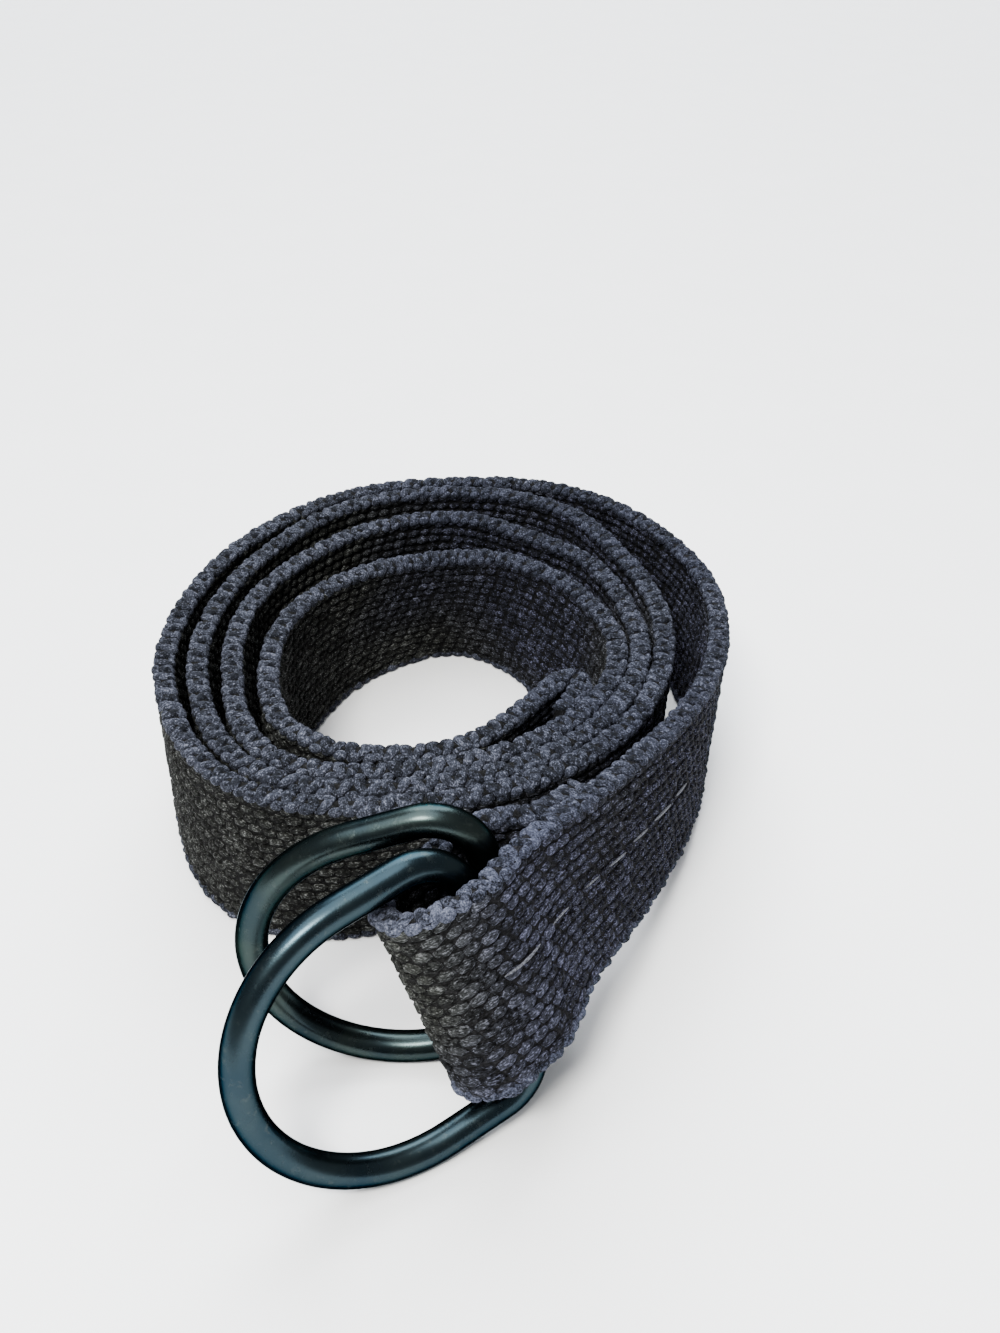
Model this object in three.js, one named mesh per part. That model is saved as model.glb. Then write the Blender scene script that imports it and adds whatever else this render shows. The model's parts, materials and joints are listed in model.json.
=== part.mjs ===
// Double ring belt: thick cotton webbing wound on its edge into a loose coil, its outer end sewn round the
// bars of two dark steel D rings. Millimetres, +Z up, the webbing's lower edge on the floor at z = 0.
import * as THREE from 'three';
import { mergeVertices } from 'three/addons/utils/BufferGeometryUtils.js';

// Webbing
const WEBBING_WIDTH = 32;
const WEBBING_THICKNESS = 3.9;
const SELVEDGE_ROUND = 1.3;
const LOWER_FLAT_SHARE = 0.5;

// Coil, seen from above
const COIL_RADIUS = 54;
const TURN_CLEARANCE = 0.4;
const ROW_STEP = 30;
const STATION_STEP = 7.5;

// Hem at the inner end: the last piece of webbing is folded back on the outside of the innermost turn
const HEM_AT = 310;
const HEM_LENGTH = 8.5;
const HEM_CLEARANCE = 0.45;
const HEM_SPLAY = 14;

// D rings of round wire
const WIRE_DIAMETER = 4.9;
const RING_INNER_WIDTH = 37.5;
const RING_INNER_DEPTH = 34.2;
const RING_CORNER = 7.3;
const RING_ARM = 16.5;
const RING_SIDES = 12;
const RING_STEPS = 64;

// Loop of webbing round the two bars. The leans tilt the bars' mean direction off the vertical, and the
// splays turn the front bar by as much one way as the back bar the other way
const LOOP_EASE = 1.5;
const NOSE_SLACK = 5.6;
const NOSE_TURN = 27;
const LOOP_LIFT = 0.8;
const LOOP_FROM_COIL = 27.5;
const LOOP_SIDE = 9.7;
const LOOP_HEADING = 63;
const LOOP_LEAN_LEFT = 18.9;
const LOOP_LEAN_BACK = 6.9;
const BAR_SPLAY_LEFT = 0.5;
const BAR_SPLAY_BACK = 3.2;
const BAR_CLEARANCE = 1.7;
const BAR_SLIDE = 2.7;
const FRONT_SWING = 27.3;
const BACK_SWING = 0;

// Stretch from the coil to the loop, and the flap sewn behind it
const STRETCH_COIL_HANDLE = 0.4;
const STRETCH_COIL_RISE = 0.9;
const STRETCH_LOOP_HANDLE = 0.12;
const FLAP_MEETS_AT = 15;
const FLAP_LENGTH = 8;
const FLAP_CLEARANCE = 0.4;

// One row for each 30 degrees, counterclockwise from the right. reach is the outer face of the outermost turn;
// the slack columns are the free gaps outside the second, third and fourth turns; lean is how far the fourth
// turn's top edge comes in and its bottom edge goes out; flare is how far every turn's bottom edge stands out from
// its top edge. All are shares of COIL_RADIUS.
const COIL_ROWS = [
  { side: 'right', reach: 1.007, slack2: 0.135, slack3: 0.035, slack4: 0.04, lean: 0, flare: -0.036 },
  { side: 'right_back', reach: 1.011, slack2: 0.15, slack3: 0.057, slack4: 0.1, lean: 0, flare: -0.02 },
  { side: 'back_right', reach: 1.041, slack2: 0.074, slack3: 0.185, slack4: 0.092, lean: 0.035, flare: 0 },
  { side: 'back', reach: 1.002, slack2: 0.007, slack3: 0.14, slack4: 0.145, lean: 0.08, flare: 0 },
  { side: 'back_left', reach: 0.993, slack2: 0.01, slack3: 0.132, slack4: 0.15, lean: 0.07, flare: 0 },
  { side: 'left_back', reach: 0.967, slack2: 0.038, slack3: 0.078, slack4: 0.12, lean: 0.045, flare: 0 },
  { side: 'left', reach: 0.993, slack2: 0.038, slack3: 0.038, slack4: 0.095, lean: 0.01, flare: -0.005 },
  { side: 'left_front', reach: 1.091, slack2: 0.03, slack3: 0.04, slack4: 0.055, lean: 0, flare: 0.012 },
  { side: 'front_left', reach: 1.196, slack2: 0, slack3: 0, slack4: 0.045, lean: 0, flare: 0.022 },
  { side: 'front', reach: 1.104, slack2: 0, slack3: 0, slack4: 0, lean: 0, flare: -0.085 },
  { side: 'front_right', reach: 0.998, slack2: 0, slack3: 0, slack4: 0.09, lean: 0, flare: -0.05 },
  { side: 'right_front', reach: 0.874, slack2: 0, slack3: 0, slack4: 0.03, lean: 0, flare: -0.03 },
];

const radians = THREE.MathUtils.degToRad;
const wireRadius = WIRE_DIAMETER / 2;
const halfThickness = WEBBING_THICKNESS / 2;
const up = new THREE.Vector3(0, 0, 1);

// A point that lies along some directions from a start: offset(start, direction, distance, ...)
function offset(start, ...pairs) {
  const point = start.clone();
  for (let i = 0; i < pairs.length; i += 2) {
    point.addScaledVector(pairs[i], pairs[i + 1]);
  }
  return point;
}

// Outer face of every turn in millimetres, one knot for each row and turn, and how far its top edge comes in
// and its bottom edge goes out
function coilKnots() {
  const reach = [];
  const topIn = [];
  const bottomOut = [];
  const pitch = WEBBING_THICKNESS + TURN_CLEARANCE;
  const slackColumns = ['slack2', 'slack3', 'slack4'];
  COIL_ROWS.forEach((row) => {
    reach.push(row.reach * COIL_RADIUS);
    topIn.push(0);
    bottomOut.push(row.flare * COIL_RADIUS);
  });
  slackColumns.forEach((column, turn) => {
    const fourth = turn === slackColumns.length - 1;
    COIL_ROWS.forEach((row) => {
      const outside = reach[reach.length - COIL_ROWS.length];
      reach.push(outside - pitch - row[column] * COIL_RADIUS);
      const lean = fourth ? row.lean * COIL_RADIUS : 0;
      topIn.push(lean);
      bottomOut.push(lean + row.flare * COIL_RADIUS);
    });
  });
  return { reach, topIn, bottomOut };
}

// A smooth function of the winding angle through values given every ROW_STEP degrees
function splineOverAngle(values) {
  const curve = new THREE.SplineCurve(values.map((value, i) => new THREE.Vector2(i * ROW_STEP, value)));
  const lastAngle = (values.length - 1) * ROW_STEP;
  return (angle) => curve.getPoint(angle / lastAngle).y;
}

const knots = coilKnots();
const reachAt = splineOverAngle(knots.reach);
const topInAt = splineOverAngle(knots.topIn);
const bottomOutAt = splineOverAngle(knots.bottomOut);

// A station of the webbing: the middle of its thickness at the lower and at the upper edge. Where the webbing
// leans, the corner of its lower edge stays on the floor
function coilStation(angle) {
  const radius = reachAt(angle) - halfThickness;
  const slope = (topInAt(angle) + bottomOutAt(angle)) / WEBBING_WIDTH;
  const rise = Math.abs(slope) * LOWER_FLAT_SHARE * halfThickness;
  const outward = new THREE.Vector3(Math.cos(radians(angle)), Math.sin(radians(angle)), 0);
  return {
    bottom: offset(new THREE.Vector3(), outward, radius + bottomOutAt(angle), up, rise),
    top: offset(new THREE.Vector3(), outward, radius - topInAt(angle), up, rise + WEBBING_WIDTH),
  };
}

// Direction tilted off the vertical, to the left (-X) and to the back (+Y)
function leaningDirection(leftDegrees, backDegrees) {
  return new THREE.Vector3(-Math.tan(radians(leftDegrees)), Math.tan(radians(backDegrees)), 1).normalize();
}

// The part of a direction that stands square to an axis
function squareTo(direction, axis) {
  return direction.clone().addScaledVector(axis, -direction.dot(axis)).normalize();
}

// The middle line of the bent wire in its own plane, with x from the bar to the bow and y along the bar
function ringOutline() {
  const halfWidth = RING_INNER_WIDTH / 2 + wireRadius;
  const depth = RING_INNER_DEPTH + WIRE_DIAMETER;
  const straight = halfWidth - RING_CORNER;
  const outline = new THREE.Path();
  outline.moveTo(0, 0);
  outline.lineTo(0, straight);
  outline.absarc(RING_CORNER, straight, RING_CORNER, Math.PI, Math.PI / 2, true);
  outline.lineTo(RING_ARM, halfWidth);
  outline.absellipse(RING_ARM, 0, depth - RING_ARM, halfWidth, Math.PI / 2, -Math.PI / 2, true);
  outline.lineTo(RING_CORNER, -halfWidth);
  outline.absarc(RING_CORNER, -straight, RING_CORNER, -Math.PI / 2, -Math.PI, true);
  outline.lineTo(0, 0);
  return outline;
}

// Frame of a ring: bar runs along the bar, bow points from the bar to the bow, face is square to both
function ringFrame(sign, swing) {
  const bar = leaningDirection(
    LOOP_LEAN_LEFT + sign * BAR_SPLAY_LEFT,
    LOOP_LEAN_BACK + sign * BAR_SPLAY_BACK,
  );
  const left = squareTo(new THREE.Vector3(-1, 0, 0), bar);
  const bow = left.applyAxisAngle(bar, radians(swing));
  return { bar, bow, face: new THREE.Vector3().crossVectors(bow, bar) };
}

const outline = ringOutline();
const front = ringFrame(1, FRONT_SWING);
const back = ringFrame(-1, BACK_SWING);

// The front ring stands on its bow, which sets how high the bars are
const lowestReach = Math.min(
  ...outline.getSpacedPoints(RING_STEPS * 4).map((p) => front.bow.z * p.x + front.bar.z * p.y),
);
const loopAxis = leaningDirection(LOOP_LEAN_LEFT, LOOP_LEAN_BACK);
const heading = new THREE.Vector3(Math.cos(radians(LOOP_HEADING)), Math.sin(radians(LOOP_HEADING)), 0);
const loopAlong = squareTo(heading, loopAxis);
const coilFront = reachAt(270);
front.center = new THREE.Vector3(LOOP_SIDE, -coilFront - LOOP_FROM_COIL, wireRadius - lowestReach);
back.center = offset(front.center, loopAlong, WIRE_DIAMETER + BAR_CLEARANCE, loopAxis, BAR_SLIDE);
const loopMiddle = offset(front.center.clone().lerp(back.center, 0.5), loopAxis, LOOP_LIFT);

// Where a bar crosses the plane that lies a distance along the loop's axis from its middle
function barAt(ring, distance) {
  const gap = distance - ring.center.clone().sub(loopMiddle).dot(loopAxis);
  return offset(ring.center, ring.bar, gap / ring.bar.dot(loopAxis));
}

// Points round both bars at one edge of the webbing, from the stretch's side over the nose to the flap's side
function loopRail(distance) {
  const nearFront = barAt(front, distance);
  const nearBack = barAt(back, distance);
  const along = squareTo(nearBack.clone().sub(nearFront), loopAxis);
  const across = new THREE.Vector3().crossVectors(loopAxis, along);
  const radius = wireRadius + LOOP_EASE + halfThickness;
  const wall = (center, turn) => offset(center, across, -radius * Math.cos(turn), along, -radius * Math.sin(turn));
  const noseTurn = radians(NOSE_TURN);
  const nose = offset(nearFront, along, -NOSE_SLACK * Math.cos(noseTurn), across, NOSE_SLACK * Math.sin(noseTurn));
  const homeward = squareTo(nearBack.clone().sub(nose), loopAxis);
  const lastTurn = Math.PI + Math.atan2(-homeward.dot(across), homeward.dot(along));
  const rail = [wall(nearBack, 0), wall(nearFront, 0), wall(nearFront, noseTurn / 2)];
  const noseSteps = 14;
  for (let i = 0; i <= noseSteps; i += 1) {
    rail.push(wall(nose, noseTurn + ((lastTurn - noseTurn) * i) / noseSteps));
  }
  rail.push(wall(nearBack, lastTurn));
  return { rail, along, homeward };
}

// The stretch from the first turn to the loop, as one curve for each edge
function stretchCurve(from, to, along) {
  const length = from.distanceTo(to);
  return new THREE.CubicBezierCurve3(
    from,
    offset(from, new THREE.Vector3(0, -1, 0), length * STRETCH_COIL_HANDLE, up, STRETCH_COIL_RISE),
    offset(to, along, length * STRETCH_LOOP_HANDLE),
    to,
  );
}

// One edge of the flap, behind the stretch: it bends in from the loop, then follows the stretch
function flapRail(curve, rail, homeward, inward) {
  const length = curve.getLength();
  const beside = FLAP_CLEARANCE + WEBBING_THICKNESS;
  const follow = (distance) => offset(curve.getPointAt(1 - distance / length), inward, beside);
  const start = rail[rail.length - 1];
  const meet = follow(FLAP_MEETS_AT);
  const handle = start.distanceTo(meet) * 0.45;
  const bend = new THREE.CubicBezierCurve3(
    start,
    offset(start, homeward, handle),
    offset(meet, meet.clone().sub(follow(FLAP_MEETS_AT + FLAP_LENGTH)).normalize(), handle),
    meet,
  );
  const bendPoints = bend.getPoints(8).slice(1);
  const flapPoints = [1, 2, 3, 4].map((i) => follow(FLAP_MEETS_AT + (FLAP_LENGTH * i) / 4));
  return [...bendPoints, ...flapPoints];
}

// The hem: a half turn outward from the end of the innermost turn, then a short run back
function hemStations(lastAngle) {
  const last = coilStation(lastAngle);
  const before = coilStation(lastAngle - 1);
  const ahead = last.bottom.clone().sub(before.bottom).normalize();
  const outward = new THREE.Vector3().crossVectors(ahead, up);
  const bendRadius = halfThickness + HEM_CLEARANCE / 2;
  const sweep = Math.PI - radians(HEM_SPLAY);
  const steps = 8;
  const shifts = [];
  for (let i = 1; i <= steps; i += 1) {
    const turn = (sweep * i) / steps;
    shifts.push(offset(new THREE.Vector3(), ahead, bendRadius * Math.sin(turn),
      outward, bendRadius * (1 - Math.cos(turn))));
  }
  const end = shifts[steps - 1];
  const returning = offset(new THREE.Vector3(), ahead, Math.cos(sweep), outward, Math.sin(sweep));
  [1, 2, 3].forEach((i) => shifts.push(offset(end, returning, (HEM_LENGTH * i) / 3)));
  return shifts.map((shift) => ({
    bottom: last.bottom.clone().add(shift),
    top: last.top.clone().add(shift),
  })).reverse();
}

// Every station of the webbing from the hem's free edge to the flap's free edge
function webbingStations() {
  const turns = 3;
  const lastAngle = turns * 360 + HEM_AT;
  const stations = hemStations(lastAngle);
  for (let angle = lastAngle; angle > 0; angle -= STATION_STEP) {
    stations.push(coilStation(angle));
  }
  const first = coilStation(0);
  const lower = loopRail(-WEBBING_WIDTH / 2);
  const upper = loopRail(WEBBING_WIDTH / 2);
  const lowerCurve = stretchCurve(first.bottom, lower.rail[0], lower.along);
  const upperCurve = stretchCurve(first.top, upper.rail[0], upper.along);
  const stretchSteps = 16;
  for (let i = 0; i < stretchSteps; i += 1) {
    const share = i / stretchSteps;
    stations.push({ bottom: lowerCurve.getPointAt(share), top: upperCurve.getPointAt(share) });
  }
  lower.rail.forEach((bottom, i) => stations.push({ bottom, top: upper.rail[i] }));
  const inward = new THREE.Vector3().crossVectors(loopAxis, loopAlong);
  const lowerFlap = flapRail(lowerCurve, lower.rail, lower.homeward, inward);
  const upperFlap = flapRail(upperCurve, upper.rail, upper.homeward, inward);
  lowerFlap.forEach((bottom, i) => stations.push({ bottom, top: upperFlap[i] }));
  return stations;
}

// Half of the webbing's section, as [share of the half thickness, height from the lower edge]: a flat lower
// edge and a rounded upper one
const HALF_SECTION = [
  [LOWER_FLAT_SHARE, 0],
  [1, SELVEDGE_ROUND * 0.6],
  [1, WEBBING_WIDTH - SELVEDGE_ROUND],
  [0.6, WEBBING_WIDTH - SELVEDGE_ROUND * 0.2],
];
const SECTION = [
  ...HALF_SECTION,
  [0, WEBBING_WIDTH],
  ...HALF_SECTION.map(([share, height]) => [-share, height]).reverse(),
];

// Square to the webbing's surface at a station, from the run of its neighbours
function thicknessDirection(before, after, width) {
  return new THREE.Vector3().crossVectors(after.clone().sub(before), width).normalize();
}

// A closed cylinder bent to the stations: its height follows the webbing and its round the section
function webbingGeometry(stations) {
  const steps = stations.length - 1;
  const sides = SECTION.length;
  const geometry = new THREE.CylinderGeometry(1, 1, steps, sides, steps);
  geometry.deleteAttribute('normal');
  geometry.deleteAttribute('uv');
  const position = geometry.getAttribute('position');
  const point = new THREE.Vector3();
  for (let i = 0; i < position.count; i += 1) {
    point.fromBufferAttribute(position, i);
    const k = Math.round(steps / 2 - point.y);
    const station = stations[k];
    const before = stations[Math.max(k - 1, 0)];
    const after = stations[Math.min(k + 1, steps)];
    const width = station.top.clone().sub(station.bottom).normalize();
    const atAxis = Math.hypot(point.x, point.z) < 0.5;
    const turn = Math.atan2(point.x, point.z) / (2 * Math.PI);
    const side = ((Math.round(turn * sides) % sides) + sides) % sides;
    const [share, height] = atAxis ? [0, WEBBING_WIDTH / 2] : SECTION[side];
    const low = thicknessDirection(before.bottom, after.bottom, width);
    const high = thicknessDirection(before.top, after.top, width);
    const across = low.lerp(high, height / WEBBING_WIDTH).normalize();
    const placed = offset(station.bottom, width, height, across, share * halfThickness);
    position.setXYZ(i, placed.x, placed.y, placed.z);
  }
  const closed = mergeVertices(geometry, 1e-4);
  closed.computeVertexNormals();
  return closed;
}

// A torus bent to the D outline, so that the wire closes on itself
function ringGeometry() {
  const unit = 1;
  const geometry = new THREE.TorusGeometry(unit, wireRadius / 10, RING_SIDES, RING_STEPS);
  geometry.deleteAttribute('normal');
  geometry.deleteAttribute('uv');
  const position = geometry.getAttribute('position');
  const point = new THREE.Vector3();
  for (let i = 0; i < position.count; i += 1) {
    point.fromBufferAttribute(position, i);
    const radial = Math.hypot(point.x, point.y);
    const share = (Math.atan2(point.y, point.x) / (2 * Math.PI) + 1) % 1;
    const step = Math.round(share * RING_STEPS) % RING_STEPS;
    const middle = outline.getPointAt(step / RING_STEPS);
    const along = outline.getTangentAt(step / RING_STEPS);
    const turn = Math.atan2(point.z, radial - unit);
    const outward = wireRadius * Math.cos(turn);
    position.setXYZ(
      i,
      middle.x - along.y * outward,
      middle.y + along.x * outward,
      -wireRadius * Math.sin(turn),
    );
  }
  const closed = mergeVertices(geometry, 1e-4);
  closed.computeVertexNormals();
  return closed;
}

const webbingCotton = new THREE.MeshStandardMaterial({ color: 0x23242b, roughness: 0.95, metalness: 0 });
const ringFrontSteel = new THREE.MeshStandardMaterial({ color: 0x2b3a40, roughness: 0.32, metalness: 0.9 });
const ringBackSteel = new THREE.MeshStandardMaterial({ color: 0x2e3c40, roughness: 0.34, metalness: 0.9 });

function ringMesh(name, ring, material) {
  const mesh = new THREE.Mesh(ringGeometry(), material);
  mesh.name = name;
  mesh.position.copy(ring.center);
  mesh.setRotationFromMatrix(new THREE.Matrix4().makeBasis(ring.bow, ring.bar, ring.face));
  return mesh;
}

const strap = new THREE.Mesh(webbingGeometry(webbingStations()), webbingCotton);
strap.name = 'strap';

const belt = new THREE.Group();
belt.add(strap);
belt.add(ringMesh('ring_front', front, ringFrontSteel));
belt.add(ringMesh('ring_back', back, ringBackSteel));

// The origin is the middle of the belt's outline on the floor
belt.updateMatrixWorld(true);
const extent = new THREE.Box3().setFromObject(belt, true);
const middle = extent.getCenter(new THREE.Vector3());
belt.position.set(-middle.x, -middle.y, -extent.min.z);

export default belt;
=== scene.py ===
import json
import math

import bmesh
import bpy
import numpy as np
from mathutils import Matrix, Vector


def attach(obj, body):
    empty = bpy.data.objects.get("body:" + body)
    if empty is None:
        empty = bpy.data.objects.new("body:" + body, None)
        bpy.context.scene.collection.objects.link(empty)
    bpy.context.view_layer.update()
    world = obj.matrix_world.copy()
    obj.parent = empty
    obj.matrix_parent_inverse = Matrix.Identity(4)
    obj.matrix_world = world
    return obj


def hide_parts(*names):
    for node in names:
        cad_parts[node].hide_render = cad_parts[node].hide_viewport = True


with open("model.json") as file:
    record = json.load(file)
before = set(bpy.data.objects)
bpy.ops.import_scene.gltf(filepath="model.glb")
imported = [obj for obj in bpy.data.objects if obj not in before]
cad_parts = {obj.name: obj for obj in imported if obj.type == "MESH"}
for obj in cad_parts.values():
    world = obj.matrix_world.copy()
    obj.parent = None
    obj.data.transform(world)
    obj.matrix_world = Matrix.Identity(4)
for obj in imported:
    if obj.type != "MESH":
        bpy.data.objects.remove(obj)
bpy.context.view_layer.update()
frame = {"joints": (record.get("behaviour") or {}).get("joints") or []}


# Webbing: one length of thick woven cotton, faded black. From its hemmed tip it winds four turns on edge,
# runs out as a stretch, goes round the two bars and comes back as a short flap sewn behind the stretch.
# Its path is worked out first, and then a straight core is wound on it.
MM = 0.001
webbing_width = 32 * MM
webbing_thickness = 3.9 * MM
half_thickness = webbing_thickness / 2
coil_radius = 54 * MM
turn_clearance = 0.4 * MM
whole_turns = 3
row_step = 30
rings_side = 270
lean_lift = 0.5
hem_at = 310
hem_length = 8.5 * MM
hem_clearance = 0.45 * MM
hem_splay = 14
hem_turn_points = 30
hem_run_points = 12
wire_radius = 2.45 * MM
loop_ease = 1.5 * MM
nose_slack = 5.6 * MM
nose_turn = math.radians(27)
loop_lift = 0.8 * MM
loop_from_coil = 27.5 * MM
loop_side = 9.7 * MM
loop_lean_left = 18.9
loop_lean_back = 6.9
loop_heading = math.radians(63)
loop_side_points = 8
loop_nose_points = 40
loop_return_points = 12
loop_steps = 120
stretch_coil_handle = 0.4
stretch_coil_rise = 0.9 * MM
stretch_loop_handle = 0.12
stretch_steps = 200
flap_meets_at = 15 * MM
flap_length = 8 * MM
flap_clearance = 0.4 * MM
flap_handle = 0.45
flap_bend_steps = 40
flap_points = 21
grid_step = 0.4 * MM
smoothing = 3

# One row for each 30 degrees, counterclockwise from the right, in shares of coil_radius: reach of the outer
# face, free gap outside turns two, three and four, lean of the fourth turn, flare of the bottom edge.
coil_rows = np.array([
    (1.007, 0.135, 0.035, 0.040, 0.000, -0.036),
    (1.011, 0.150, 0.057, 0.100, 0.000, -0.020),
    (1.041, 0.074, 0.185, 0.092, 0.035, 0.000),
    (1.002, 0.007, 0.140, 0.145, 0.080, 0.000),
    (0.993, 0.010, 0.132, 0.150, 0.070, 0.000),
    (0.967, 0.038, 0.078, 0.120, 0.045, 0.000),
    (0.993, 0.038, 0.038, 0.095, 0.010, -0.005),
    (1.091, 0.030, 0.040, 0.055, 0.000, 0.012),
    (1.196, 0.000, 0.000, 0.045, 0.000, 0.022),
    (1.104, 0.000, 0.000, 0.000, 0.000, -0.085),
    (0.998, 0.000, 0.000, 0.090, 0.000, -0.050),
    (0.874, 0.000, 0.000, 0.030, 0.000, -0.030),
]) * coil_radius
reach, slack_two, slack_three, slack_four, lean, flare = coil_rows.T
pitch = webbing_thickness + turn_clearance
second = reach - pitch - slack_two
third = second - pitch - slack_three
fourth = third - pitch - slack_four
level = np.zeros(len(coil_rows))
reach_knots = np.concatenate([reach, second, third, fourth])
top_in_knots = np.concatenate([level, level, level, lean])
bottom_out_knots = np.concatenate([flare, flare, flare, lean + flare])


def through_knots(knots, winding):
    """A column of the table at any winding angle, on a smooth curve through its rows."""
    last = len(knots) - 1
    place = np.asarray(winding, float) / row_step
    row = np.clip(np.floor(place).astype(int), 0, last)
    part = place - row
    before, here, after, beyond = (knots[np.clip(row + k, 0, last)] for k in (-1, 0, 1, 2))
    slope, next_slope = (after - before) / 2, (beyond - here) / 2
    bend = 2 * here - 2 * after + slope + next_slope
    return here + part * (slope + part * (3 * after - 3 * here - 2 * slope - next_slope + part * bend))


def unit(vectors):
    return vectors / np.linalg.norm(vectors, axis=-1, keepdims=True)


def square_to(direction, axis):
    return unit(direction - axis * np.dot(direction, axis))


def leaning(left_degrees, back_degrees):
    return unit(np.array([-math.tan(math.radians(left_degrees)), math.tan(math.radians(back_degrees)), 1.0]))


def bezier(start, leave, arrive, end, steps, samples=400):
    t = np.linspace(0, 1, samples)[:, None]
    curve = start * (1 - t) ** 3 + 3 * leave * t * (1 - t) ** 2 + 3 * arrive * t**2 * (1 - t) + end * t**3
    return evenly(curve, steps)


def run_of(line):
    return np.concatenate([[0], np.cumsum(np.linalg.norm(np.diff(line, axis=0), axis=1))])


def evenly(line, steps):
    """The same line, with its points at even distances."""
    run = run_of(line)
    at = np.linspace(0, run[-1], steps + 1)
    return np.stack([np.interp(at, run, line[:, k]) for k in range(3)], axis=1)


hinges = {joint["name"]: joint for joint in frame["joints"]}
front_center = np.array(hinges["front_ring_hinge"]["pos_m"])
front_bar = unit(np.array(hinges["front_ring_hinge"]["axis"], float))
back_center = np.array(hinges["back_ring_hinge"]["pos_m"])
back_bar = -unit(np.array(hinges["back_ring_hinge"]["axis"], float))
up = np.array([0.0, 0.0, 1.0])
coil_front = through_knots(reach_knots, rings_side)
coil_center = np.array([front_center[0] - loop_side, front_center[1] + coil_front + loop_from_coil, 0.0])


def coil_edges(winding):
    """Bottom and top edge of the coil. A leaning wall is lifted a little, because it stands on its corner."""
    angle = np.radians(winding)
    outward = np.stack([np.cos(angle), np.sin(angle), 0 * angle], axis=1)
    radius = through_knots(reach_knots, winding) - half_thickness
    top_in = through_knots(top_in_knots, winding)
    bottom_out = through_knots(bottom_out_knots, winding)
    rise = np.abs(top_in + bottom_out) / webbing_width * lean_lift * half_thickness
    bottom = coil_center + outward * (radius + bottom_out)[:, None] + up * rise[:, None]
    top = coil_center + outward * (radius - top_in)[:, None] + up * (rise + webbing_width)[:, None]
    return bottom, top


loop_axis = leaning(loop_lean_left, loop_lean_back)
loop_middle = (front_center + back_center) / 2 + loop_axis * loop_lift


def bar_at(center, bar, distance):
    """The point of a ring's bar at a distance along the loop's axis from the loop's middle."""
    gap = distance - np.dot(center - loop_middle, loop_axis)
    return center + bar * gap / np.dot(bar, loop_axis)


def loop_edge(distance):
    """One line of the loop: past the back bar, round the front bar, over the slack nose and back."""
    near_front = bar_at(front_center, front_bar, distance)
    near_back = bar_at(back_center, back_bar, distance)
    along = square_to(near_back - near_front, loop_axis)
    across = np.cross(loop_axis, along)
    radius = wire_radius + loop_ease + half_thickness

    def wall(center, turns):
        turns = np.atleast_1d(turns)[:, None]
        return center - radius * (across * np.cos(turns) + along * np.sin(turns))

    nose = near_front - nose_slack * (along * math.cos(nose_turn) - across * math.sin(nose_turn))
    homeward = square_to(near_back - nose, loop_axis)
    last_turn = math.pi + math.atan2(-np.dot(homeward, across), np.dot(homeward, along))
    to_front = np.linspace(0, 1, loop_side_points)[:, None]
    to_back = np.linspace(0, 1, loop_return_points)[:, None]
    straight = wall(near_back, 0)[0] + (near_front - near_back) * to_front
    bend = wall(near_front, np.linspace(0, nose_turn, loop_side_points))
    side = bend[-1] + (nose - near_front) * to_front
    round_nose = wall(nose, np.linspace(nose_turn, last_turn, loop_nose_points))
    return_side = round_nose[-1] + (near_back - nose) * to_back
    line = np.concatenate([straight, bend[1:], side[1:], round_nose[1:], return_side[1:]])
    return evenly(line, loop_steps), along, homeward


def flap_edge(curve, rail, homeward, inward):
    """One line of the flap: it bends from the loop's end to the stretch, and then lies flat beside it."""
    run = run_of(curve)
    beside = flap_clearance + webbing_thickness

    def follow(distance):
        at = run[-1] - distance
        return np.array([np.interp(at, run, curve[:, k]) for k in range(3)]) + inward * beside

    start, meet = rail[-1], follow(flap_meets_at)
    handle = np.linalg.norm(meet - start) * flap_handle
    back_along = unit(meet - follow(flap_meets_at + flap_length))
    bend = bezier(start, start + homeward * handle, meet + back_along * handle, meet, flap_bend_steps)
    shares = np.linspace(0, 1, flap_points)
    flat = np.array([follow(flap_meets_at + flap_length * share) for share in shares])
    return np.concatenate([bend[1:], flat[1:]])


def hem_edges(last_angle):
    """Bottom and top edge of the hem, which hooks outwards and back on itself at the coil's inner end."""
    (bottom, before), (top, _) = (edge[[0, 1]] for edge in coil_edges(np.array([last_angle, last_angle - 1])))
    ahead = unit(bottom - before)
    outward = np.cross(ahead, up)
    bend_radius = half_thickness + hem_clearance / 2
    sweep = math.pi - math.radians(hem_splay)
    turn = np.linspace(0, sweep, hem_turn_points)[1:, None]
    bend = bend_radius * (ahead * np.sin(turn) + outward * (1 - np.cos(turn)))
    returning = ahead * math.cos(sweep) + outward * math.sin(sweep)
    run = bend[-1] + returning * np.linspace(0, hem_length, hem_run_points)[1:, None]
    shift = np.concatenate([bend, run])[::-1]
    return bottom + shift, top + shift


last_angle = whole_turns * 360 + hem_at
hem_bottom, hem_top = hem_edges(last_angle)
coil_bottom, coil_top = coil_edges(np.arange(last_angle, 0, -1.0))
start_bottom, start_top = (edge[0] for edge in coil_edges(np.array([0.0])))
lower_rail, lower_along, lower_home = loop_edge(-webbing_width / 2)
upper_rail, upper_along, upper_home = loop_edge(webbing_width / 2)


def stretch_edge(start, end, along):
    length = np.linalg.norm(end - start)
    leave = start + np.array([0, -1, 0]) * length * stretch_coil_handle + up * stretch_coil_rise
    arrive = end + along * length * stretch_loop_handle
    return bezier(start, leave, arrive, end, stretch_steps)


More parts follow.
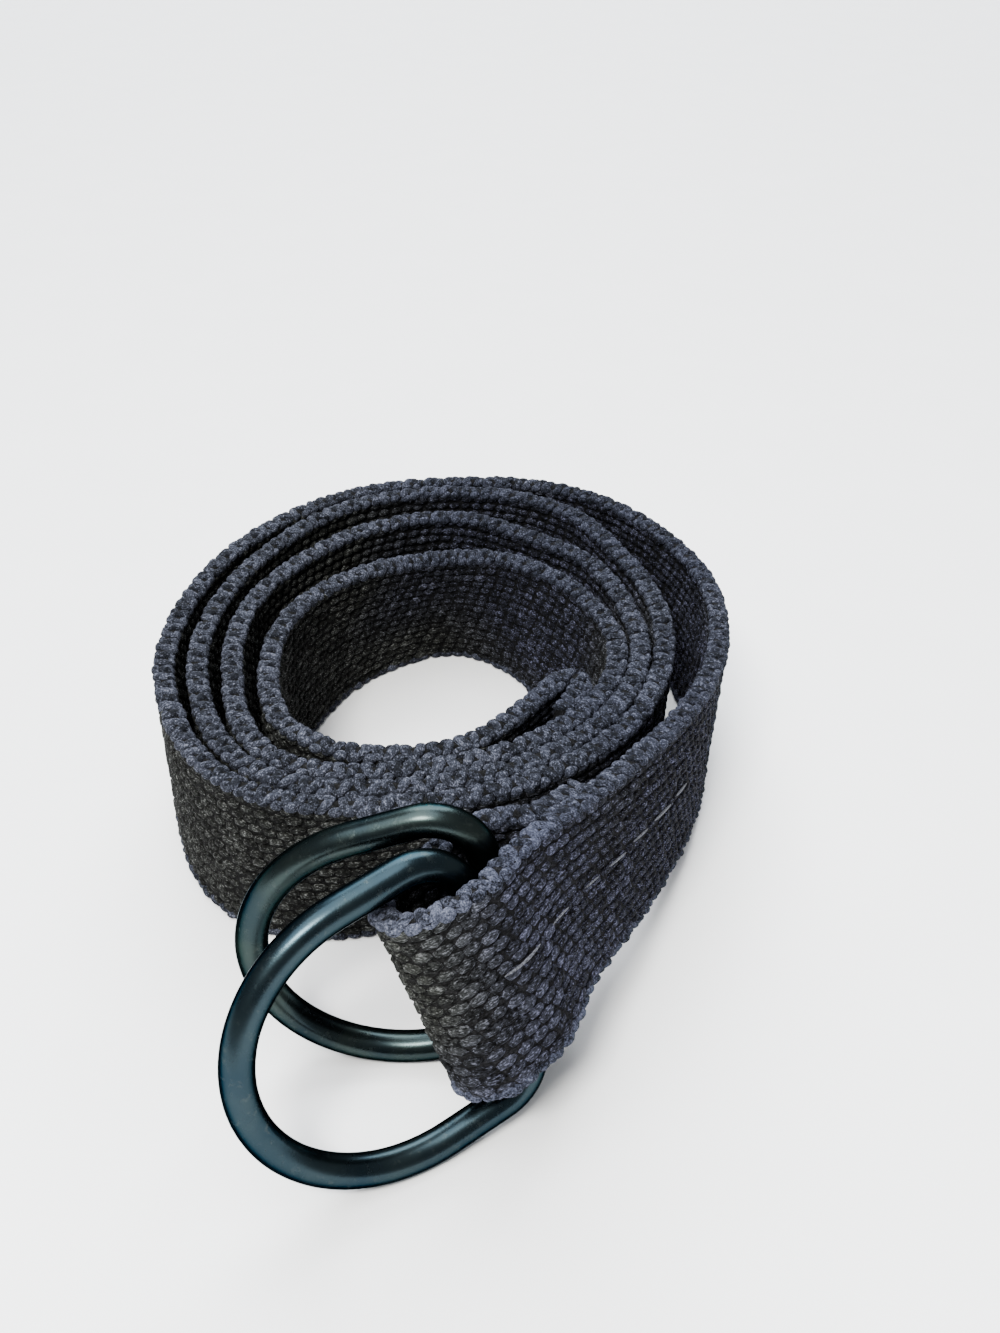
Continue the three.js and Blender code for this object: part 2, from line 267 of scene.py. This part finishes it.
lower_stretch = stretch_edge(start_bottom, lower_rail[0], lower_along)
upper_stretch = stretch_edge(start_top, upper_rail[0], upper_along)
heading = np.array([math.cos(loop_heading), math.sin(loop_heading), 0.0])
inward = np.cross(loop_axis, square_to(heading, loop_axis))
lower_flap = flap_edge(lower_stretch, lower_rail, lower_home, inward)
upper_flap = flap_edge(upper_stretch, upper_rail, upper_home, inward)
bottom_line = np.concatenate([hem_bottom, coil_bottom, lower_stretch[:-1], lower_rail, lower_flap])
top_line = np.concatenate([hem_top, coil_top, upper_stretch[:-1], upper_rail, upper_flap])
middle_run = run_of((bottom_line + top_line) / 2)
belt_length = middle_run[-1]
stretch_ends = middle_run[len(hem_bottom) + len(coil_bottom) + len(lower_stretch) - 1]

run_grid = np.arange(0, belt_length, grid_step)
bottom_grid, top_grid = (
    np.stack([np.interp(run_grid, middle_run, line[:, k]) for k in range(3)], axis=1)
    for line in (bottom_line, top_line)
)
width_grid = unit(top_grid - bottom_grid)


def outward_of(line):
    """The way that the outer face looks along one edge, smoothed over a few steps of the grid."""
    facing = unit(np.cross(width_grid, np.gradient(line, axis=0)))
    kernel = np.ones(2 * smoothing + 1) / (2 * smoothing + 1)
    padded_facing = np.pad(facing, ((smoothing, smoothing), (0, 0)), mode="edge")
    return np.stack([np.convolve(padded_facing[:, k], kernel, mode="valid") for k in range(3)], axis=1)


bottom_facing, top_facing = outward_of(bottom_grid), outward_of(top_grid)


def on_webbing(flat):
    """Points of the straight webbing, as (run, outward, height), carried to the wound webbing."""
    run, outward, height = flat.T
    share = (height / webbing_width)[:, None]

    def at(grid):
        return np.stack([np.interp(run, run_grid, grid[:, k]) for k in range(3)], axis=1)

    facing = unit(at(bottom_facing) * (1 - share) + at(top_facing) * share)
    return at(bottom_grid) + at(width_grid) * height[:, None] + facing * outward[:, None]


def wind(mesh, name):
    """Turns a mesh of the straight webbing into a piece of the wound one, which keeps its straight place."""
    flat = np.zeros(len(mesh.vertices) * 3, np.float32)
    mesh.vertices.foreach_get("co", flat)
    wound = on_webbing(flat.reshape(-1, 3).astype(float))
    mesh.attributes.new("straight", "FLOAT_VECTOR", "POINT").data.foreach_set("vector", flat)
    mesh.vertices.foreach_set("co", wound.astype(np.float32).ravel())
    mesh.polygons.foreach_set("use_smooth", np.ones(len(mesh.polygons), bool))
    mesh.update()
    piece = bpy.data.objects.new(name, mesh)
    bpy.context.scene.collection.objects.link(piece)
    return piece


class Value:
    """A socket of a finish; arithmetic on it adds Math nodes."""

    def __init__(self, finish, socket):
        self.finish = finish
        self.socket = socket

    def __add__(self, other):
        return self.finish.maths("ADD", self, other)

    def __sub__(self, other):
        return self.finish.maths("SUBTRACT", self, other)

    def __rsub__(self, other):
        return self.finish.maths("SUBTRACT", other, self)

    def __mul__(self, other):
        return self.finish.maths("MULTIPLY", self, other)

    __radd__ = __add__
    __rmul__ = __mul__


class Finish:
    """One procedural material: its node tree, and the shader that it ends in."""

    def __init__(self, name, **shader):
        self.material = bpy.data.materials.new(name)
        self.material.use_nodes = True
        self.tree = self.material.node_tree
        self.tree.nodes.clear()
        self.shader = self.tree.nodes.new("ShaderNodeBsdfPrincipled")
        end = self.tree.nodes.new("ShaderNodeOutputMaterial")
        self.tree.links.new(self.shader.outputs[0], end.inputs[0])
        self.set(**shader)

    def feed(self, socket, value):
        if isinstance(value, Value):
            self.tree.links.new(value.socket, socket)
        else:
            socket.default_value = value

    def set(self, **sockets):
        for key, value in sockets.items():
            self.feed(self.shader.inputs[key.replace("_", " ")], value)

    def node(self, kind, settings=None, sockets=None, output=0):
        made = self.tree.nodes.new(kind)
        for key, value in (settings or {}).items():
            setattr(made, key, value)
        for key, value in (sockets or {}).items():
            self.feed(made.inputs[key], value)
        return Value(self, made.outputs[output])

    def maths(self, operation, *values):
        return self.node("ShaderNodeMath", {"operation": operation}, dict(enumerate(values)))

    def between(self, value, low, high):
        """How far a value is from low to high, from 0 to 1 and never outside."""
        return self.node("ShaderNodeMapRange", {"clamp": True}, {0: value, 1: low, 2: high, 3: 0.0, 4: 1.0})

    def noise(self, coordinates, scale, detail, roughness):
        return self.node("ShaderNodeTexNoise", None,
                         {"Vector": coordinates, "Scale": scale, "Detail": detail, "Roughness": roughness})

    def mix(self, share, low, high, blend="MIX"):
        return self.node("ShaderNodeMix", {"data_type": "RGBA", "blend_type": blend},
                         {0: share, 6: low, 7: high}, output=2)

    def bump(self, height, strength, depth):
        return self.node("ShaderNodeBump", None, {"Strength": strength, "Distance": depth, "Height": height})


# Painted light: the cotton is painted paler round the loop's nose, a pool of light that fades out along the
# belt.
nose_at = stretch_ends + 12.5 * MM
nose_light_full_within = 8 * MM
nose_light_reach = 45 * MM
nose_light_gain = 2.3
kept_in_eye_shade = 0.3


def cotton(name, painted_shade, body, lint_and_glint, grain, navy, eye_pitch=None):
    """Faded cotton yarn: body colour on its crown, with noise-laid dark patches of painted shade standing for
    the shade in its twist, and pale flecks along its fibres that are partly lint and partly painted fibre
    glints. It is painted paler round the bars, a painted pool of light on the loop's nose, and keeps more
    navy to the right. The grain stretches the fibres along the yarn, and an eye pitch paints shade into the
    small eyes of a selvedge."""
    finish = Finish(name, Roughness=0.95, Specular_IOR_Level=0.08)
    place = finish.node("ShaderNodeTexCoord", output="Object")
    to_right = finish.node("ShaderNodeSeparateXYZ", None, {0: place})
    straight = finish.node("ShaderNodeAttribute", {"attribute_name": "straight"}, output="Vector")
    run, outward = (finish.node("ShaderNodeSeparateXYZ", None, {0: straight}, output=k) for k in (0, 1))
    shade = finish.node("ShaderNodeAttribute", {"attribute_name": "yarn_shade"}, output="Fac")
    drawn = finish.node("ShaderNodeVectorMath", {"operation": "MULTIPLY"}, {0: straight, 1: grain})
    fibre = finish.noise(drawn, scale=2600, detail=2, roughness=0.65)
    tuft = finish.noise(place, scale=1100, detail=2, roughness=0.6)

    # Painted light: the body colour is made paler near the loop's nose.
    nose_light = finish.between(finish.maths("ABSOLUTE", run - nose_at), nose_light_reach, nose_light_full_within)
    nose_lit_body = tuple(channel * nose_light_gain for channel in body[:3]) + (1,)
    nose_lit_crown = finish.mix(nose_light, body, nose_lit_body)
    # Painted shade: noise-laid dark patches stand for the shade in the yarn's twist.
    strand = fibre * 0.7 + tuft * 0.5 + shade * 0.14
    shaded_and_lit = finish.mix(finish.between(strand, 0.46, 0.72), painted_shade, nose_lit_crown)
    # Pale flecks along the fibres: partly lint, partly painted highlights on single fibres.
    lint_glint_mask = fibre * 0.75 + tuft * 0.25 + shade * 0.05
    colour = finish.mix(finish.between(lint_glint_mask, 0.55, 0.69), shaded_and_lit, lint_and_glint)
    dye = finish.noise(place, scale=22, detail=1, roughness=0.5) + to_right * 5
    colour = finish.mix(finish.between(dye, 0.46, 0.72), colour, navy, blend="MULTIPLY")
    height = fibre * 0.6 + tuft * 0.4

    # Painted shade: each selvedge eye is painted dark with the shade colour, as well as sunk by the bump.
    if eye_pitch:
        sway = finish.noise(straight, scale=130, detail=1, roughness=0.5)
        eyes_passed = run * (1 / eye_pitch) + sway * 0.9
        along = (finish.maths("FRACT", eyes_passed) - 0.5) * (eye_pitch / MM)
        aside = outward * (1 / MM) + (sway - 0.5) * 3.0
        from_eye = finish.maths("SQRT", along * along + aside * aside)
        ragged = from_eye + (fibre - 0.5) * 1.4 + (tuft - 0.5) * 1.6
        outside_eye = finish.between(ragged, 0.3, 1.1)
        colour = finish.mix(outside_eye * (1 - kept_in_eye_shade) + kept_in_eye_shade, painted_shade, colour)
        height = height + outside_eye * 0.6
    finish.set(Base_Color=colour)
    finish.set(Normal=finish.bump(height, strength=0.9, depth=0.4 * MM))
    return finish.material


core_inset = 0.57 * MM
core_margin = 0.6 * MM
core_round = 1.2 * MM
core_cuts = 1600
# Painted shade: the core is painted near black, so it shows as shade in the gaps between the floats and the
# selvedge turns.
core_cotton = cotton(
    "core_cotton",
    painted_shade=(0.0008, 0.0008, 0.0008, 1),
    body=(0.004, 0.004, 0.004, 1),
    lint_and_glint=(0.02, 0.02, 0.021, 1),
    grain=(1, 2, 2),
    navy=(1.0, 1.0, 1.2, 1),
)


def along_belt(shape):
    return [edge for edge in shape.edges if abs(edge.verts[0].co.x - edge.verts[1].co.x) > belt_length / 2]


core = bmesh.new()
bmesh.ops.create_cube(core, size=1, matrix=Matrix.LocRotScale(
    Vector((belt_length / 2, 0, webbing_width / 2)), None,
    Vector((belt_length, webbing_thickness - 2 * core_inset, webbing_width - 2 * core_margin))))
bmesh.ops.bevel(core, geom=along_belt(core), offset=core_round, segments=3, profile=0.5,
                affect="EDGES", material=-1)
bmesh.ops.subdivide_edges(core, edges=along_belt(core), cuts=core_cuts, use_grid_fill=True)
core_mesh = bpy.data.meshes.new("webbing_core")
core.to_mesh(core_mesh)
core.free()
webbing_core = wind(core_mesh, "webbing_core")
webbing_core.data.materials.append(core_cotton)
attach(webbing_core, "webbing")
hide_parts("strap")


# Yarn of the two faces: each pick of the coarse weave shows as a plump, slanted float of two-ply cotton. The
# floats lie in rows along the belt, and each row starts a little after the one below it.
float_pitch = 2.75 * MM
float_row = 1.84 * MM
float_rows = 16
float_cycle = 4
float_shift = 0.22
float_half = Vector((1.62, 0.62, 1.00)) * MM
float_slant = math.radians(8)
float_wander = np.array([0.14, 0.065, 0.10]) * MM
float_swell = 0.08
float_seed = 5
face_cotton = cotton(
    "face_cotton",
    painted_shade=(0.0008, 0.0008, 0.0008, 1),
    body=(0.0125, 0.0132, 0.0120, 1),
    lint_and_glint=(0.12, 0.124, 0.122, 1),
    grain=(0.8, 2, 2),
    navy=(0.86, 0.87, 1.42, 1),
)


def yarn_bead(shape, roundness, middle, turn, axis, half):
    """One plump length of yarn: a ball drawn out to its half sizes, turned and set in its place."""
    bmesh.ops.create_icosphere(shape, subdivisions=roundness, radius=1, matrix=(
        Matrix.Translation(middle) @ Matrix.Rotation(turn, 4, axis) @ Matrix.Diagonal(half.to_4d())))


def repeated(shape, name, count, step):
    """The shape and its copies, at even steps along the straight webbing, as one mesh."""
    mesh = bpy.data.meshes.new(name)
    shape.to_mesh(mesh)
    shape.free()
    maker = bpy.data.objects.new(name, mesh)
    bpy.context.scene.collection.objects.link(maker)
    array = maker.modifiers.new("row", "ARRAY")
    array.count = count
    array.use_relative_offset = False
    array.use_constant_offset = True
    array.constant_offset_displace = (step, 0, 0)
    made = bpy.data.meshes.new_from_object(maker.evaluated_get(bpy.context.evaluated_depsgraph_get()))
    bpy.data.objects.remove(maker)
    made.name = name
    return made


def loosened(mesh, points_each, seed, wander, swell):
    """Moves and swells each bead a little, as hand and wear do, and gives it a shade of its own."""
    chance = np.random.default_rng(seed)
    flat = np.zeros(len(mesh.vertices) * 3, np.float32)
    mesh.vertices.foreach_get("co", flat)
    beads = flat.reshape(-1, points_each, 3)
    middles = beads.mean(axis=1, keepdims=True)
    moved = middles + chance.normal(0, 1, middles.shape) * wander
    sizes = 1 + chance.normal(0, swell, (len(beads), 1, 1))
    shades = np.repeat(chance.uniform(-0.5, 0.5, len(beads)), points_each).astype(np.float32)
    mesh.attributes.new("yarn_shade", "FLOAT", "POINT").data.foreach_set("value", shades)
    mesh.vertices.foreach_set("co", (moved + (beads - middles) * sizes).astype(np.float32).ravel())
    return mesh


float_count = round(belt_length / float_pitch)
for face_name, side in (("weave_outside", 1), ("weave_inside", -1)):
    floats = bmesh.new()
    for row in range(float_rows):
        later = float_shift * (row % float_cycle - (float_cycle - 1) / 2)
        middle = Vector(((0.5 + later) * float_pitch, side * (half_thickness - float_half.y),
                         webbing_width / 2 + (row - (float_rows - 1) / 2) * float_row))
        yarn_bead(floats, 1, middle, side * float_slant, "Y", float_half)
    float_points = len(floats.verts) // float_rows
    face_mesh = repeated(floats, face_name, float_count, belt_length / float_count)
    loosened(face_mesh, float_points, float_seed + side, float_wander, float_swell)
    weave = wind(face_mesh, face_name)
    weave.data.materials.append(face_cotton)
    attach(weave, "webbing")


# Selvedges: at both edges of the webbing the weft turns back over the last warp. Its turns lean to and fro,
# so that they leave eyes between them, which the rim cotton paints dark as painted shade, and a row of short
# floats rounds the corner on either side.
turn_pitch = 2.35 * MM
turn_half = Vector((0.98, 2.0, 0.80)) * MM
turn_lean = math.radians(28)
turn_wander = np.array([0.14, 0.08, 0.07]) * MM
turn_swell = 0.06
turn_seed = 11
corner_half = Vector((1.32, 0.86, 0.90)) * MM
corner_inset = 0.72 * MM
corner_drop = 1.3 * MM
corner_lean = math.radians(14)
corner_wander = np.array([0.12, 0.07, 0.09]) * MM
corner_swell = 0.08
corner_seed = 17
rim_cotton = cotton(
    "rim_cotton",
    painted_shade=(0.003, 0.0035, 0.005, 1),
    body=(0.029, 0.032, 0.045, 1),
    lint_and_glint=(0.125, 0.133, 0.17, 1),
    grain=(1.6, 1, 1.6),
    navy=(0.72, 0.73, 0.80, 1),
    eye_pitch=2 * turn_pitch,
)
pair_count = round(belt_length / turn_pitch / 2)
corner_count = 2 * pair_count
for edge_name, edge in (("selvedge_top", 1), ("selvedge_bottom", -1)):
    edge_height = webbing_width / 2 + edge * webbing_width / 2
    weft_turns = bmesh.new()
    for step, lean_to in ((0, 1), (1, -1)):
        middle = Vector(((step + 0.5) * turn_pitch, 0, edge_height - edge * turn_half.z))
        yarn_bead(weft_turns, 2, middle, lean_to * turn_lean, "Z", turn_half)
    turn_points = len(weft_turns.verts) // 2
    turn_mesh = repeated(weft_turns, edge_name, pair_count, belt_length / pair_count)
    loosened(turn_mesh, turn_points, turn_seed + edge, turn_wander, turn_swell)
    corners = bmesh.new()
    for side, share in ((1, 1.0), (-1, 0.5)):
        middle = Vector((share * turn_pitch, side * (half_thickness - corner_inset),
                         edge_height - edge * corner_drop))
        yarn_bead(corners, 2, middle, edge * side * corner_lean, "Y", corner_half)
    corner_points = len(corners.verts) // 2
    corner_mesh = repeated(corners, edge_name + "_corners", corner_count, belt_length / corner_count)
    loosened(corner_mesh, corner_points, corner_seed + edge, corner_wander, corner_swell)
    for piece in (wind(turn_mesh, edge_name), wind(corner_mesh, edge_name + "_corners")):
        piece.data.materials.append(rim_cotton)
        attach(piece, "webbing")


# Seam: the flap is sewn to the stretch with a row of long stitches of pale thread. Those on the outer face
# show, near the middle of the webbing's width.
stitch_count = 7
stitch_step = 8.6 * MM
stitch_half = Vector((2.8, 0.17, 0.19)) * MM
stitch_start = stretch_ends - 44 * MM
stitch_height = 0.55 * webbing_width
stitch_proud = 0.03 * MM
stitch_slant = math.radians(-3)
stitch_wander = np.array([0.6, 0.03, 0.25]) * MM
stitch_swell = 0.10
stitch_seed = 29
thread_shadow = (0.02, 0.02, 0.025, 1)
thread_pale = (0.10, 0.105, 0.125, 1)
thread = Finish("seam_thread", Roughness=0.6, Specular_IOR_Level=0.2)
thread_place = thread.node("ShaderNodeTexCoord", output="Object")
thread_fibre = thread.noise(thread_place, scale=3000, detail=2, roughness=0.6)
thread.set(Base_Color=thread.mix(thread.between(thread_fibre, 0.35, 0.65), thread_shadow, thread_pale))
stitches = bmesh.new()
first_stitch = Vector((stitch_start, half_thickness + stitch_proud, stitch_height))
yarn_bead(stitches, 2, first_stitch, stitch_slant, "Y", stitch_half)
stitch_points = len(stitches.verts)
stitch_mesh = repeated(stitches, "seam", stitch_count, stitch_step)
loosened(stitch_mesh, stitch_points, stitch_seed, stitch_wander, stitch_swell)
seam = wind(stitch_mesh, "seam")
seam.data.materials.append(thread.material)
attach(seam, "webbing")


# D rings: two equal rings of round steel wire, bent to a D, butted and welded, blued dark and worn by use.
# The webbing's loop holds both by their straight bars.
ring_half_width = 21.2 * MM
ring_depth = 39.1 * MM
ring_corner = 7.3 * MM
ring_arm = 16.5 * MM
front_swing = 27.3
wire_sides = 24
wire_steps = 144
spin_radius = 10 * wire_radius
bare_steel = (0.09, 0.10, 0.09, 1)


def arc(center, radii, start, end, points=40):
    angle = np.radians(np.linspace(start, end, points))
    across = center[0] + radii[0] * np.cos(angle)
    upward = center[1] + radii[1] * np.sin(angle)
    return np.stack([across, upward, 0 * angle], axis=1)


straight_half = ring_half_width - ring_corner
d_outline = evenly(np.concatenate([
    [[0, 0, 0]],
    arc((ring_corner, straight_half), (ring_corner, ring_corner), 180, 90),
    arc((ring_arm, 0), (ring_depth - ring_arm, ring_half_width), 90, -90),
    arc((ring_corner, -straight_half), (ring_corner, ring_corner), -90, -180),
    [[0, 0, 0]],
]), wire_steps)[:-1]
d_along = unit(np.roll(d_outline, -1, axis=0) - np.roll(d_outline, 1, axis=0))


def blued_steel(name, blue, straw_and_reflection):
    """Dark blued steel that clouds from blue to a paler tint, partly the steel's own tone and partly a
    painted warm reflection, with small scuffs where the bare metal shows.
    """
    finish = Finish(name, Metallic=1.0, Specular_Tint=(0.12, 0.16, 0.18, 1))
    place = finish.node("ShaderNodeTexCoord", output="Object")
    cloud = finish.between(finish.noise(place, scale=90, detail=3, roughness=0.6), 0.3, 0.7)
    scuff = finish.between(finish.noise(place, scale=700, detail=4, roughness=0.7), 0.58, 0.78)
    grain = finish.noise(place, scale=3200, detail=2, roughness=0.6)
    # The paler cloud tint is partly the steel's own tone and partly a painted warm reflection, laid at
    # random.
    finish.set(Base_Color=finish.mix(scuff * 0.3, finish.mix(cloud, blue, straw_and_reflection), bare_steel))
    finish.set(Roughness=0.24 + cloud * 0.06 + scuff * 0.10)
    finish.set(Normal=finish.bump(grain + scuff * 0.5, strength=0.18, depth=0.05 * MM))
    return finish.material


for ring_name, body, center, bar, swing, blue, straw_and_reflection in (
    ("ring_front", "front_ring", front_center, front_bar, front_swing,
     (0.012, 0.022, 0.030, 1), (0.024, 0.036, 0.040, 1)),
    ("ring_back", "back_ring", back_center, back_bar, 0,
     (0.013, 0.021, 0.026, 1), (0.030, 0.040, 0.036, 1)),
):
    left = square_to(np.array([-1.0, 0.0, 0.0]), bar)
    bow = np.array(Matrix.Rotation(math.radians(swing), 3, Vector(bar)) @ Vector(left))
    face = np.cross(bow, bar)
    wire = bmesh.new()
    bmesh.ops.create_circle(wire, segments=wire_sides, radius=wire_radius, matrix=(
        Matrix.Translation((spin_radius, 0, 0)) @ Matrix.Rotation(math.pi / 2, 4, "X")))
    bmesh.ops.spin(wire, geom=wire.edges[:], cent=(0, 0, 0), axis=(0, 0, 1), angle=2 * math.pi,
                   steps=wire_steps, use_merge=True)
    bmesh.ops.recalc_face_normals(wire, faces=wire.faces[:])
    for vert in wire.verts:
        step = round(math.atan2(vert.co.y, vert.co.x) / (2 * math.pi) * wire_steps) % wire_steps
        outward = math.hypot(vert.co.x, vert.co.y) - spin_radius
        across = d_outline[step][0] - d_along[step][1] * outward
        up_bar = d_outline[step][1] + d_along[step][0] * outward
        vert.co = center + bow * across + bar * up_bar - face * vert.co.z
    ring_mesh = bpy.data.meshes.new(ring_name + "_wire")
    wire.to_mesh(ring_mesh)
    wire.free()
    ring_mesh.polygons.foreach_set("use_smooth", np.ones(len(ring_mesh.polygons), bool))
    ring = bpy.data.objects.new(ring_name + "_wire", ring_mesh)
    bpy.context.scene.collection.objects.link(ring)
    ring.data.materials.append(blued_steel(ring_name + "_steel", blue, straw_and_reflection))
    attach(ring, body)
    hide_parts(ring_name)


# Stage: a plain pale floor, two wide soft lights from the sky and the back, a small key light in front, and a
# camera close in front of the rings, looking down at the belt.
floor_reach = 20
floor_finish = Finish("floor_paint", Roughness=0.7)
floor_place = floor_finish.node("ShaderNodeTexCoord", output="Object")
floor_grain = floor_finish.noise(floor_place, scale=40, detail=2, roughness=0.5)
floor_finish.set(Base_Color=floor_finish.mix(floor_grain, (0.86, 0.86, 0.87, 1), (0.90, 0.90, 0.91, 1)))
floor_shape = bmesh.new()
bmesh.ops.create_grid(floor_shape, x_segments=4, y_segments=4, size=floor_reach)
floor_mesh = bpy.data.meshes.new("floor")
floor_shape.to_mesh(floor_mesh)
floor_shape.free()
floor = bpy.data.objects.new("floor", floor_mesh)
floor.data.materials.append(floor_finish.material)
bpy.context.scene.collection.objects.link(floor)


def lamp(name, kind, place, aim, power, colour, **shape):
    """A light of one kind at a place, turned to what it aims at."""
    light = bpy.data.lights.new(name, kind)
    light.energy = power
    light.color = colour
    for key, value in shape.items():
        setattr(light, key, value)
    holder = bpy.data.objects.new(name, light)
    holder.location = place
    holder.rotation_euler = (Vector(aim) - Vector(place)).to_track_quat("-Z", "Y").to_euler()
    bpy.context.scene.collection.objects.link(holder)


panel_spread = math.radians(50)
lamp("sky_panel", "SUN", (-0.25, -0.1, 1.0), (0, 0, 0), 4.5, (0.95, 0.97, 1.0), angle=panel_spread)
lamp("back_panel", "SUN", (-0.05, 1.0, 0.95), (0, 0, 0), 8, (0.93, 0.97, 1.0), angle=panel_spread)
lamp("key_light", "AREA", (-0.15, -0.38, 0.58), (0, -0.04, 0.02), 9, (1.0, 0.99, 0.93),
     shape="RECTANGLE", size=0.2, size_y=0.11)
world = bpy.data.worlds.new("studio")
world.use_nodes = True
background = world.node_tree.nodes["Background"]
background.inputs["Color"].default_value = (0.95, 0.97, 1.0, 1)
background.inputs["Strength"].default_value = 0.5
bpy.context.scene.world = world

camera_right = 10 * MM
camera_back = 206.59 * MM
camera_height = 163.47 * MM
camera_tilt = 0.62
camera_data = bpy.data.cameras.new("camera")
camera_data.sensor_width = 36
camera_data.lens = 33.76
camera_data.clip_start = 0.01
camera = bpy.data.objects.new("camera", camera_data)
camera.location = (coil_center[0] + camera_right, coil_center[1] - camera_back, camera_height)
camera.rotation_euler = (math.pi / 2 - camera_tilt, 0, 0)
bpy.context.scene.collection.objects.link(camera)
bpy.context.scene.camera = camera
